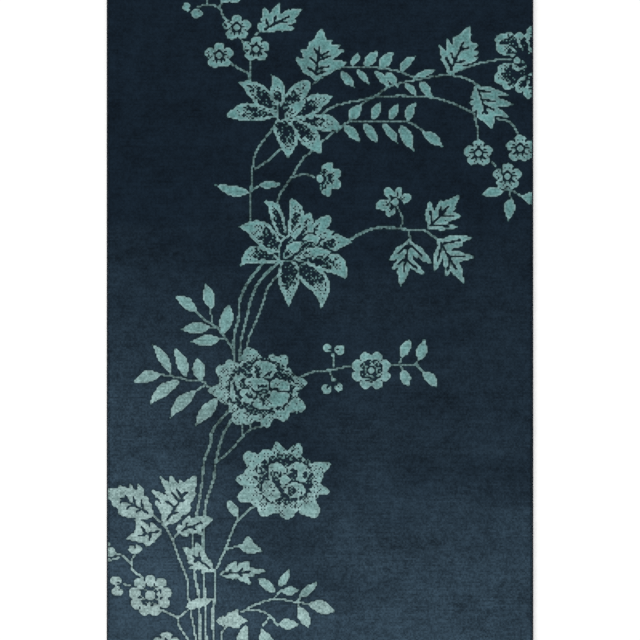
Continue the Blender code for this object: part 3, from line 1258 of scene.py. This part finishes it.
def pile_corners(chart, rng):
    """The corners that the knots share, as (rows + 1, columns + 1, 3)."""
    x = (np.arange(COLUMNS + 1) - COLUMNS / 2) * KNOT_WIDTH * MM
    y = (np.arange(ROWS + 1) - ROWS / 2) * KNOT_LENGTH * MM
    grid_x, grid_y = np.meshgrid(x, y)
    inner = np.ones(grid_x.shape)
    inner[[0, -1], :] = 0
    inner[:, [0, -1]] = 0
    aqua = np.pad(chart.aqua.astype(float), 1, mode="edge")
    share = (aqua[:-1, :-1] + aqua[1:, :-1] + aqua[:-1, 1:] + aqua[1:, 1:]) / 4
    groove = 1 - np.abs(2 * share - 1)
    bend, wander = SWELL_BEND
    swell = np.sin(grid_x * SWELL_ACROSS + bend * np.sin(grid_y * wander))
    swell = swell * np.sin(grid_y * SWELL_ALONG + SWELL_START)
    height = PILE_TOP + SWELL * (swell - 1) + rng.normal(size=grid_x.shape) * CLIPPING
    height -= CARVED * groove + ROUNDED_EDGE * (1 - inner)
    flat = eased(chart.aqua, np.stack([grid_x, grid_y], -1))
    flat = np.where(inner[..., None] > 0, flat, np.stack([grid_x, grid_y], -1))
    flat += rng.uniform(-1, 1, size=flat.shape) * SHIFTING * inner[..., None]
    return np.concatenate([flat, np.minimum(height, PILE_TOP)[..., None]], axis=-1)


def rim_segments():
    """The pile's edge, anticlockwise: rows of (side, knot row, knot column, start corner, end corner)."""
    top, right = ROWS - 1, COLUMNS - 1
    foot = [(0, 0, c, (0, c), (0, c + 1)) for c in range(COLUMNS)]
    right_side = [(1, r, right, (r, COLUMNS), (r + 1, COLUMNS)) for r in range(ROWS)]
    head = [(2, top, c, (ROWS, c + 1), (ROWS, c)) for c in reversed(range(COLUMNS))]
    left_side = [(3, r, 0, (r + 1, 0), (r, 0)) for r in reversed(range(ROWS))]
    return foot + right_side + head + left_side


def share_along(corner, side):
    """How far along its side a corner of the rim is, from 0 to 1."""
    row, column = corner
    return column / COLUMNS if side in (0, 2) else row / ROWS


def outward_at(flat):
    """The way out of the pile at each corner of its rim."""
    way = np.roll(flat, -1, 0) - np.roll(flat, 1, 0)
    outward = np.stack([way[:, 1], -way[:, 0], np.zeros(len(way))], -1)
    return outward / np.linalg.norm(outward, axis=1)[:, None]


def build_pile(chart):
    """Corners, faces, and each face's knot and places in the map. Both colours are cut from these."""
    rng = np.random.default_rng(PILE_SEED)
    top = pile_corners(chart, rng)
    index = np.arange((ROWS + 1) * (COLUMNS + 1)).reshape(ROWS + 1, COLUMNS + 1)
    top_faces = np.stack([index[:-1, :-1], index[:-1, 1:], index[1:, 1:], index[1:, :-1]], -1)
    top_faces = top_faces.reshape(-1, 4)
    share_x, share_y = np.meshgrid(np.linspace(0, TOP_IN_MAP, COLUMNS + 1), np.linspace(0, 1, ROWS + 1))
    places = np.stack([share_x.ravel(), share_y.ravel()], -1)
    points, faces, maps = [top.reshape(-1, 3)], [top_faces], [places[top_faces]]
    knots = [np.arange(ROWS * COLUMNS)]
    rim = rim_segments()
    above = np.array([index[start] for _, _, _, start, _ in rim])
    flat = np.array([top[start] for _, _, _, start, _ in rim])
    outward = outward_at(flat)
    owner = np.array([row * COLUMNS + column for _, row, column, _, _ in rim])
    strip = np.array([WALL_STRIPS[side] for side, *_ in rim])
    starts = np.array([share_along(start, side) for side, _, _, start, _ in rim])
    ends = np.array([share_along(end, side) for side, _, _, _, end in rim])
    made = index.size
    out_stray, row_stray = WALL_STRAY
    for level, (out, height) in enumerate(PILE_WALL):
        low = flat + outward * (out + rng.uniform(-out_stray, out_stray, len(flat)))[:, None]
        low[:, 2] = height + rng.uniform(-row_stray, row_stray, len(flat))
        below = np.arange(made, made + len(flat))
        made += len(flat)
        points.append(low)
        faces.append(np.stack([above, below, np.roll(below, -1), np.roll(above, -1)], -1))
        knots.append(owner)
        near, far = (strip + WALL_STRIP_WIDTH * (level + step) / len(PILE_WALL) for step in (0, 1))
        corners = ((near, starts), (far, starts), (far, ends), (near, ends))
        maps.append(np.stack([np.stack(corner, -1) for corner in corners], 1))
        above = below
    return tuple(np.concatenate(parts) for parts in (points, faces, knots, maps))


def add_object(name, data):
    made = bpy.data.objects.new(name, data)
    bpy.context.scene.collection.objects.link(made)
    return made


def add_mesh(name, points, faces, material, smooth=True):
    """A mesh object from arrays of points and of four-cornered faces."""
    mesh = bpy.data.meshes.new(name)
    mesh.vertices.add(len(points))
    mesh.vertices.foreach_set("co", np.ascontiguousarray(points, np.float32).ravel())
    mesh.loops.add(faces.size)
    mesh.loops.foreach_set("vertex_index", faces.astype(np.int32).ravel())
    mesh.polygons.add(len(faces))
    mesh.polygons.foreach_set("loop_start", np.arange(0, faces.size, 4, dtype=np.int32))
    mesh.update(calc_edges=True)
    mesh.materials.append(material)
    mesh.polygons.foreach_set("use_smooth", np.full(len(faces), smooth))
    return add_object(name, mesh)


def cut_from_pile(name, pile, wanted, fields, material):
    """The part of the pile whose knots are wanted, with their own shades and places in the map."""
    points, faces, knots, maps = pile
    keep = wanted.ravel()[knots]
    used, corners = np.unique(faces[keep], return_inverse=True)
    made = add_mesh(name, points[used], corners.reshape(-1, 4), material)
    for field_name, field in fields.items():
        attribute = made.data.attributes.new(field_name, "FLOAT", "FACE")
        attribute.data.foreach_set("value", field.ravel()[knots[keep]].astype(np.float32))
    uv_map = made.data.uv_layers.new(name=BAKED_UV)
    uv_map.data.foreach_set("uv", maps[keep].astype(np.float32).ravel())
    return made


def mean_around(field):
    """Each knot's mean over itself and its eight neighbours."""
    padded = np.pad(field.astype(float), 1, mode="edge")
    return sum(neighbourhood(padded, field.shape)) / 9


def knot_fields(chart):
    """Each knot's own shade, partly shared along its row, and how near it is to the other colour.

    Stems and single aqua knots sink between the navy ones and are darkened with painted shade, with less of a
    petal's pale rim. Near the foot the stems have less painted shade and are nearly as pale as the leaves.
    """
    rng = np.random.default_rng(SHADES_SEED)
    lengths = np.repeat(rng.uniform(size=(ROWS, COLUMNS // DYED_RUN + 1)), DYED_RUN, axis=1)[:, :COLUMNS]
    own, in_row, in_length = SHADE_PARTS
    shade = own * rng.uniform(size=chart.aqua.shape) + in_row * rng.uniform(size=(ROWS, 1))
    shade += in_length * lengths
    share = mean_around(chart.aqua)
    lonely = np.where(chart.aqua, np.clip((LONELY[0] - share) / LONELY[1], 0, 1), 0)
    stem = chart.aqua & chart.stem
    # painted shade on the stems and lone aqua knots, less of it on the stems near the foot
    painted_shade = np.where(stem, np.interp(chart.y, STEM_SHADE_SPAN, (STEM_SHADE_AT_FOOT, 1.0)), lonely)
    rimless = np.where(stem, STEM_RIM_LOSS, LONELY_RIM_LOSS * lonely)
    border = np.clip(np.where(chart.aqua, 1 - share, share) * BORDER_GAIN, 0, 1)
    return {SHADE: shade - SUNK_PAINTED_SHADE * painted_shade, BORDER: border * (1 - rimless)}


# ----------------------------------------------------------------------------------------------------------
# The woven back and the end webs

BACK_RELIEF = 0.0003
BACK_BEVEL = 0.0006
FOUNDATION_STATIONS = (23, 35)


def spread(length, count):
    """Places spaced evenly over a length, from the middle."""
    return np.linspace(-length / 2, length / 2, count)


def make_foundation(material):
    """The woven ground that the knots are tied into: a thin closed sheet under the pile."""
    across, along = FOUNDATION_STATIONS
    grid_x, grid_y = np.meshgrid(spread(PILE_WIDTH, across), spread(PILE_LENGTH, along))
    heights = (BACK_RELIEF, FOUNDATION_THICKNESS)
    layers = [np.stack([grid_x, grid_y, np.full(grid_x.shape, z)], -1) for z in heights]
    count = grid_x.size
    index = np.arange(count).reshape(grid_x.shape)
    lower = np.stack([index[:-1, :-1], index[1:, :-1], index[1:, 1:], index[:-1, 1:]], -1).reshape(-1, 4)
    upper = lower[:, ::-1] + count
    rim = np.concatenate([index[0, :-1], index[:-1, -1], index[-1, :0:-1], index[:0:-1, 0]])
    after = np.roll(rim, -1)
    walls = np.stack([rim, after, after + count, rim + count], -1)
    points = np.concatenate([layer.reshape(-1, 3) for layer in layers])
    return add_mesh("foundation", points, np.concatenate([lower, upper, walls]), material, smooth=False)


def make_knot_backs(name, chart, aqua, material):
    """The backs of one colour's knots, which show the design underneath: a bar for each run of knots."""
    rows, starts, ends = [], [], []
    for row, wanted in enumerate(chart.aqua == aqua):
        steps = np.flatnonzero(np.diff(np.concatenate([[0], wanted.astype(int), [0]])))
        rows += [row] * (len(steps) // 2)
        starts += list(steps[::2])
        ends += list(steps[1::2])
    left = (np.array(starts) - COLUMNS / 2) * KNOT_WIDTH * MM
    right = (np.array(ends) - COLUMNS / 2) * KNOT_WIDTH * MM
    foot = (np.array(rows) - ROWS / 2) * KNOT_LENGTH * MM
    head = foot + KNOT_LENGTH * MM
    middle = (foot + head) / 2
    low, high = np.zeros(len(rows)), np.full(len(rows), BACK_RELIEF)
    section = ((foot, high), (foot + BACK_BEVEL, low), (middle, low), (head - BACK_BEVEL, low), (head, high))
    points = np.stack([np.stack([x, y, z], -1) for y, z in section for x in (left, right)], 1)
    base = np.arange(len(rows))[:, None] * len(section) * 2
    faces = [np.array([[k, k + 2, k + 3, k + 1]]) + base for k in range(0, 2 * len(section) - 2, 2)]
    return add_mesh(name, points.reshape(-1, 3), np.concatenate(faces), material, smooth=False)


WARP_PITCH = KNOT_WIDTH * MM / 2
WARP_RIDGE = 0.00024
STATIONS_PER_KNOT = 4
TUCKED_IN = 0.003
TUCKED_HEIGHTS = (1.4, 0.6)  # of the tucked-in end's top and underside, in half thicknesses
WEB_STATIONS = (0, 0.2, 0.4, 0.6, 0.75)  # shares of its length
WEB_WAVE = (0.0001, 9)  # the slight waves of its top: their height, and their radians in its length
FOLD_STEPS = 6
TURNED_UNDER = 0.5  # the share of its length that is turned under


def web_outline():
    """The folded web cut along the warps, as (distance past the pile, height), from top to underside."""
    fold = FOUNDATION_THICKNESS / 2
    top, underside = TUCKED_HEIGHTS
    height, waves = WEB_WAVE
    outline = [(-TUCKED_IN, top * fold)]
    outline += [(WEB_LENGTH * share, 2 * fold - height * math.sin(waves * share)) for share in WEB_STATIONS]
    for step in range(FOLD_STEPS):
        angle = math.pi / 2 - math.pi * (step + 0.5) / FOLD_STEPS
        outline.append((WEB_LENGTH - fold + fold * math.cos(angle), fold + fold * math.sin(angle)))
    return outline + [(WEB_LENGTH * TURNED_UNDER, 0.0), (0.0, 0.0), (-TUCKED_IN, underside * fold)]


def make_web(name, end, material):
    """The flat-woven end, ribbed by its warps and turned under. end is 1 at the head and -1 at the foot."""
    outline = np.array(web_outline())
    way = np.roll(outline, -1, 0) - np.roll(outline, 1, 0)
    outward = np.stack([-way[:, 1], way[:, 0]], -1)
    outward /= np.linalg.norm(outward, axis=1)[:, None]
    stations = spread(PILE_WIDTH, STATIONS_PER_KNOT * COLUMNS + 1)
    dips = WARP_RIDGE * (np.abs(np.cos(np.pi * stations / WARP_PITCH)) - 1)
    rings = []
    for x, dip in zip(stations, dips):
        dipped = outline + outward * dip
        y = end * (PILE_LENGTH / 2 + dipped[:, 0])
        rings.append(np.stack([np.full(len(dipped), x), y, dipped[:, 1]], -1))
    points = np.concatenate(rings)
    corners = len(outline)
    near = np.arange(corners)
    after = np.roll(near, -1)
    strip = np.stack([near, near + corners, after + corners, after], -1)
    faces = np.concatenate([strip + corners * station for station in range(len(stations) - 1)])
    web = add_mesh(name, points, faces, material)
    shape = bmesh.new()
    shape.from_mesh(web.data)
    shape.verts.ensure_lookup_table()
    for first in (0, len(points) - corners):
        shape.faces.new([shape.verts[first + step] for step in range(corners)])
    bmesh.ops.recalc_face_normals(shape, faces=shape.faces)
    shape.to_mesh(web.data)
    shape.free()
    return web


# ----------------------------------------------------------------------------------------------------------
# Geometry Nodes: the overcast edges and the tufts round the rim


def new_growth(name, sizes):
    """A Geometry Nodes tree with named sizes. Returns (its nodes, its geometry input, its sizes by name)."""
    tree = bpy.data.node_groups.new(name, "GeometryNodeTree")
    tree.interface.new_socket("Geometry", in_out="INPUT", socket_type="NodeSocketGeometry")
    for size_name in sizes:
        tree.interface.new_socket(size_name, in_out="INPUT", socket_type="NodeSocketFloat")
    tree.interface.new_socket("Geometry", in_out="OUTPUT", socket_type="NodeSocketGeometry")
    nodes = Nodes(tree)
    entry = tree.nodes.new("NodeGroupInput")
    geometry = Value(nodes, entry.outputs["Geometry"])
    return nodes, geometry, {size_name: Value(nodes, entry.outputs[size_name]) for size_name in sizes}


def end_growth(nodes, geometry, material):
    """Every tree ends in real faces with their material."""
    real = nodes.node("GeometryNodeRealizeInstances", {}, {"Geometry": geometry})
    smooth = nodes.node("GeometryNodeSetShadeSmooth", {}, {"Geometry": real})
    finished = nodes.node("GeometryNodeSetMaterial", {}, {"Geometry": smooth, "Material": material})
    nodes.tree.links.new(finished.socket, nodes.tree.nodes.new("NodeGroupOutput").inputs[0])


def grow(name, nodes, sizes, seed_mesh):
    """Runs a tree on a seed mesh and keeps the result as a plain mesh object."""
    seed = add_object(name + "_seed", seed_mesh)
    modifier = seed.modifiers.new("growth", "NODES")
    modifier.node_group = nodes.tree
    for item in nodes.tree.interface.items_tree:
        if item.in_out == "INPUT" and item.name in sizes:
            modifier[item.identifier] = sizes[item.name]
    ready = bpy.context.evaluated_depsgraph_get()
    mesh = bpy.data.meshes.new_from_object(seed.evaluated_get(ready), depsgraph=ready)
    mesh.name = name
    seed.modifiers.remove(modifier)
    bpy.data.objects.remove(seed)
    return add_object(name, mesh)


def random_number(nodes, low, high, seed):
    """The node has a set of sockets for every kind of value, and after them its seed."""
    sockets = {2: low, 3: high, 8: seed}
    return nodes.node("FunctionNodeRandomValue", {"data_type": "FLOAT"}, sockets, output=1)


def moved(nodes, geometry, **how):
    """The geometry scaled or turned."""
    return nodes.node("GeometryNodeTransform", {}, {"Geometry": geometry, **how})


def ring(nodes, corners, radius):
    """A regular outline in the XY plane."""
    return nodes.node("GeometryNodeCurvePrimitiveCircle", {}, {"Resolution": corners, "Radius": radius})


def swept(nodes, curve, profile, **more):
    return nodes.node("GeometryNodeCurveToMesh", {}, {"Curve": curve, "Profile Curve": profile, **more})


def copies(nodes, points, instance, rotation, scale):
    """One copy of the instance on every point."""
    sockets = {"Points": points, "Instance": instance, "Rotation": rotation, "Scale": scale}
    return nodes.node("GeometryNodeInstanceOnPoints", {}, sockets)


CORD_SIZES = {"Length": 1.3353, "Width": 0.0045, "Height": 0.0056, "Pitch": 0.0022, "Yarn": 0.0013}
WRAP_CORNERS = 10
STRAND_CORNERS = 5
STRAND_SPREAD = 1.75  # how much wider the strand lies along the cord than it is thick
SLIMMEST = 0.45  # the girth of the wraps at the very ends of the cord
GIRTHS = (0.93, 1.0, 3)  # uneven wraps: lowest, highest, seed
TILTS = (0.05, 0.19, 5)
LEANS = (-0.05, 0.05, 7)
CORE_CORNERS = 8
CORE_WIDTH = 0.72


def overcast_growth(material):
    """Yarn wrapped round and round a core cord that runs along Y."""
    nodes, _, size = new_growth("overcasting", CORD_SIZES)
    half = size["Length"] / 2
    middle = size["Height"] / 2
    wrap_run = half - size["Pitch"] / 2
    ends = {
        "Start": nodes.vector(0.0, 0.0 - wrap_run, middle),
        "End": nodes.vector(0.0, wrap_run, middle),
    }
    route = nodes.node("GeometryNodeCurvePrimitiveLine", {}, ends)
    pitch = {"Curve": route, "Length": size["Pitch"]}
    stations = nodes.node("GeometryNodeResampleCurve", {"mode": "LENGTH"}, pitch)
    across = size["Width"] / 2 - size["Yarn"] / 2
    up = middle - size["Yarn"] / 2
    oval = moved(nodes, ring(nodes, WRAP_CORNERS, 1.0), Scale=nodes.vector(across, up, 1.0))
    upright = moved(nodes, oval, Rotation=(math.pi / 2, 0.0, 0.0))
    strand = ring(nodes, STRAND_CORNERS, size["Yarn"] / 2)
    wrap = swept(nodes, upright, moved(nodes, strand, Scale=(1.0, STRAND_SPREAD, 1.0)))
    y = nodes.axis(nodes.node("GeometryNodeInputPosition"), 1)
    nose = size["Width"] / 2
    into_nose = ((y.math("ABSOLUTE") - (half - nose)) / nose).clamped()
    full = (1.0 - into_nose * into_nose).math("SQRT").math("MAXIMUM", SLIMMEST)
    girth = full * random_number(nodes, *GIRTHS)
    turned = nodes.vector(random_number(nodes, *LEANS), 0.0, random_number(nodes, *TILTS))
    wraps = copies(nodes, stations, wrap, turned, nodes.vector(girth, 1.0, girth))
    core = swept(nodes, route, ring(nodes, CORE_CORNERS, up), **{"Fill Caps": True})
    slim = moved(nodes, core, Scale=(CORE_WIDTH, 1.0, 1.0))
    joined = nodes.tree.nodes.new("GeometryNodeJoinGeometry")
    for part in (wraps, slim):
        nodes.tree.links.new(part.socket, joined.inputs[0])
    end_growth(nodes, Value(nodes, joined.outputs[0]), material)
    return nodes


def make_overcast_edges(material):
    """One wrapped cord in the place of each plain one."""
    nodes = overcast_growth(material)
    made = []
    for side in ("left", "right"):
        low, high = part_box("side_cord_" + side)
        sizes = dict(CORD_SIZES, Length=high.y - low.y, Width=high.x - low.x, Height=high.z - low.z)
        cord = grow("overcast_edge_" + side, nodes, sizes, bpy.data.meshes.new("edge_seed"))
        cord.data.transform(Matrix.Translation(((low.x + high.x) / 2, 0.0, 0.0)))
        made.append((cord, "side_cord_" + side))
    return made


TUFT_SIZES = {"Height": 0.0076, "Foot": 0.0011, "Head": 0.0017, "Lean": 0.16}
OUTWARD = "outward"
TUFT_CORNERS = 6
TUFT_SEGMENTS = 3
TUFT_OUT = 0.0006  # how far outside the pile's edge the tufts stand
TUFT_LEANS = (0.5, 1.5, 11)  # uneven tufts: lowest, highest, seed
TUFT_ASKEW = (-0.08, 0.08, 12)
TUFT_GIRTHS = (0.9, 1.06, 13)
TUFT_TURNS = (0.0, 6.0, 14)
TUFT_HEIGHTS = (0.96, 1.02, 15)


def tuft_growth(material):
    """A tuft of yarn on every point, leaning the way that the point's outward vector gives."""
    nodes, points, size = new_growth("rim_tufts", TUFT_SIZES)
    shape = {
        "Vertices": TUFT_CORNERS,
        "Side Segments": TUFT_SEGMENTS,
        "Radius Top": size["Head"],
        "Radius Bottom": size["Foot"],
        "Depth": size["Height"],
    }
    tuft = nodes.node("GeometryNodeMeshCone", {"fill_type": "TRIANGLE_FAN"}, shape)
    kind = {"data_type": "FLOAT_VECTOR"}
    outward = nodes.node("GeometryNodeInputNamedAttribute", kind, {"Name": OUTWARD})
    x, y = nodes.axis(outward, 0), nodes.axis(outward, 1)
    lean = size["Lean"] * random_number(nodes, *TUFT_LEANS)
    askew = random_number(nodes, *TUFT_ASKEW)
    girth = random_number(nodes, *TUFT_GIRTHS)
    turned = nodes.vector(askew - y * lean, x * lean + askew, random_number(nodes, *TUFT_TURNS))
    scale = nodes.vector(girth, girth, random_number(nodes, *TUFT_HEIGHTS))
    end_growth(nodes, copies(nodes, points, tuft, turned, scale), material)
    return nodes


def make_rim_tufts(name, chart, aqua, material):
    """The outermost tufts of one colour, which show one by one at the sides of the pile."""
    rim = [segment for segment in rim_segments() if chart.aqua[segment[1], segment[2]] == aqua]
    ways = np.array([(0, -1), (1, 0), (0, 1), (-1, 0)])
    out = np.array([ways[side] for side, *_ in rim], float)
    x = np.array([(column + 0.5 - COLUMNS / 2) * KNOT_WIDTH * MM for _, _, column, _, _ in rim])
    y = np.array([(row + 0.5 - ROWS / 2) * KNOT_LENGTH * MM for _, row, _, _, _ in rim])
    foot = np.full(len(rim), FOUNDATION_THICKNESS)
    place = np.stack([x + out[:, 0] * TUFT_OUT, y + out[:, 1] * TUFT_OUT, foot], -1)
    seed_mesh = bpy.data.meshes.new(name + "_points")
    seed_mesh.vertices.add(len(rim))
    seed_mesh.vertices.foreach_set("co", place.astype(np.float32).ravel())
    attribute = seed_mesh.attributes.new(OUTWARD, "FLOAT_VECTOR", "POINT")
    attribute.data.foreach_set("vector", np.pad(out, ((0, 0), (0, 1))).astype(np.float32).ravel())
    return grow(name, tuft_growth(material), TUFT_SIZES, seed_mesh)


# ----------------------------------------------------------------------------------------------------------
# Camera, lights and floor

VIEW_WIDTH = 1.2785  # what the photograph takes in, at the top of the pile
LENS = 120.0
SENSOR = 36.0
LIGHTS = (
    # name, place, size in metres, watts
    ("overhead", (0.0, 0.4, 6.0), 5.0, 184.0),
    ("window", (-4.5, -3.0, 5.0), 3.0, 130.0),
)
WORLD_STRENGTH = 0.52
FLOOR_HALF = 14.0
FLOOR_CLOUDS = 0.8
FLOOR_COLOURS = ((0.95, 0.95, 0.94), (0.97, 0.97, 0.96))
FLOOR_SHADER = {"Roughness": 0.9, "Specular IOR Level": 0.1}


def add_camera():
    """Straight above the middle of the rug, with the head end at the top of the picture."""
    data = bpy.data.cameras.new("camera")
    data.lens = LENS
    data.sensor_width = SENSOR
    camera = add_object("camera", data)
    camera.location = (0.0, 0.0, PILE_TOP + VIEW_WIDTH * LENS / SENSOR)
    bpy.context.scene.camera = camera


def add_soft_light(name, place, size, power):
    """A large area light that looks at the rug's middle and isn't seen itself."""
    data = bpy.data.lights.new(name, "AREA")
    data.shape = "DISK"
    data.size = size
    data.energy = power
    light = add_object(name, data)
    light.location = place
    light.rotation_euler = Vector(place).to_track_quat("Z", "Y").to_euler()
    light.visible_camera = False


def add_world():
    """Even light from all round, and the Standard view of colours."""
    bpy.context.scene.view_settings.view_transform = "Standard"
    world = bpy.data.worlds.new("studio")
    world.use_nodes = True
    background = world.node_tree.nodes["Background"]
    background.inputs["Color"].default_value = (1.0, 1.0, 1.0, 1.0)
    background.inputs["Strength"].default_value = WORLD_STRENGTH
    bpy.context.scene.world = world


def add_floor():
    """A pale, even floor."""
    material, nodes, shader = new_material("pale_floor")
    cloud = nodes.noise(nodes.place(), FLOOR_CLOUDS)
    links = {"Base Color": nodes.mix(cloud, *FLOOR_COLOURS)}
    finish_shader(nodes, shader, links, FLOOR_SHADER)
    corners = np.array([(x, y, 0.0) for x, y in ((-1, -1), (1, -1), (1, 1), (-1, 1))]) * FLOOR_HALF
    floor = add_mesh("floor", corners, np.array([[0, 1, 2, 3]]), material, smooth=False)


# ----------------------------------------------------------------------------------------------------------
# The whole finish


def main():
    add_camera()
    add_world()
    add_floor()
    for light in LIGHTS:
        add_soft_light(*light)

    navy = cut_wool("navy_pile", **NAVY_PILE)
    aqua = cut_wool("aqua_pile", **AQUA_PILE)
    edge_yarn = spun_yarn("edge_yarn", EDGE_GRAIN)
    web_yarn = spun_yarn("web_yarn", WEB_GRAIN)
    cotton = woven_cotton("foundation_weave")

    chart = Chart(COLUMNS, ROWS)
    draw_spray(chart)
    pile = build_pile(chart)
    fields = knot_fields(chart)
    foundation = make_foundation(cotton)
    pieces = [
        (cut_from_pile("ground_pile", pile, ~chart.aqua, fields, navy), "navy_wool"),
        (cut_from_pile("spray_pile", pile, chart.aqua, fields, aqua), "aqua_wool"),
        (make_rim_tufts("ground_rim_tufts", chart, False, navy), "navy_wool"),
        (make_rim_tufts("spray_rim_tufts", chart, True, aqua), "aqua_wool"),
        (make_knot_backs("ground_knot_backs", chart, False, navy), "navy_wool"),
        (make_knot_backs("spray_knot_backs", chart, True, aqua), "aqua_wool"),
        (make_web("head_web", 1, web_yarn), "navy_edge_wool"),
        (make_web("foot_web", -1, web_yarn), "navy_edge_wool"),
    ]
    edges = make_overcast_edges(edge_yarn)
    for piece, slot in pieces + [(foundation, "foundation_cotton")]:
        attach(piece, "root")
        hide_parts("knotted_rug")
    for edge, node in edges:
        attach(edge, "root")
        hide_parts(node)
    [piece for piece, _ in pieces] + [edge for edge, _ in edges]


main()
